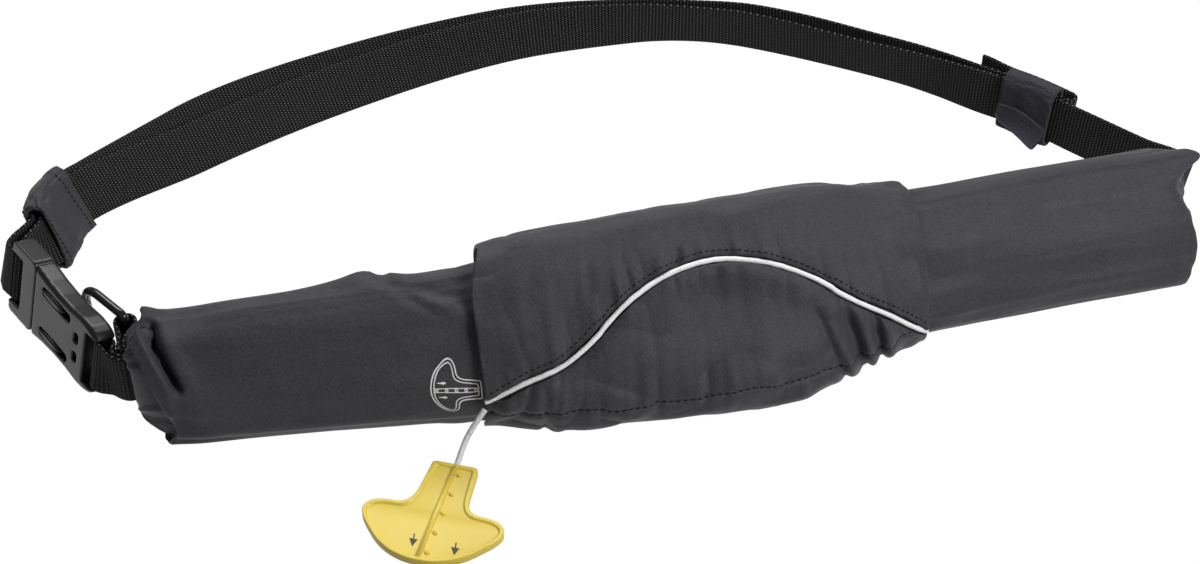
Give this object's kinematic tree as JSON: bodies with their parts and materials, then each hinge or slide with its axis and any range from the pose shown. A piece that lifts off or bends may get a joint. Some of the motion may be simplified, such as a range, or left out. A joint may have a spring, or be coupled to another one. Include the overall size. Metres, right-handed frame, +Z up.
{
  "type": "inflatable belt pack",
  "caption": "Padded nylon pouch with a centre flap, lower pocket and pull handle on an adjustable webbing waist belt with a side-release buckle and ring.",
  "frame": {"origin": "middle of the footprint of the whole pack without its pull cord, on the surface that it lies on", "axes": "+X along the pouch towards its right end, +Y from the pouch towards the back of the belt loop, +Z up"},
  "size_m": [0.5662, 0.3578, 0.0736],
  "materials": {
    "nylon": "coated nylon, faint sheen",
    "coated_bladder": "matte",
    "piping": "satin",
    "webbing": "woven, matte",
    "hook_and_loop": "fuzzy",
    "buckle_plastic": "satin",
    "ring_metal": "black, satin",
    "cord": "braided",
    "handle_plastic": "moulded, soft gloss"
  },
  "bodies": {
    "pack": {"pouch_sleeve": "nylon", "bladder_roll": "coated_bladder", "centre_flap": "nylon", "lower_pocket": "nylon", "flap_piping": "piping", "buckle_socket": "buckle_plastic", "buckle_plug": "buckle_plastic", "left_tab": "webbing", "ring_tab": "webbing", "belt_strap": "webbing", "strap_tail": "webbing", "sleeve_keeper": "nylon", "wrap_keeper": "hook_and_loop", "keeper_tab": "hook_and_loop", "pull_cord": "cord", "pull_handle": "handle_plastic"},
    "ring": {"d_ring": "ring_metal"}
  },
  "joints": [
    {"name": "ring_swing", "type": "hinge", "parent": "pack", "child": "ring", "pos_m": [-0.22681, -0.03186, 0.02], "axis": [0, 0, 1], "range_deg": [-75, 3]}
  ]
}
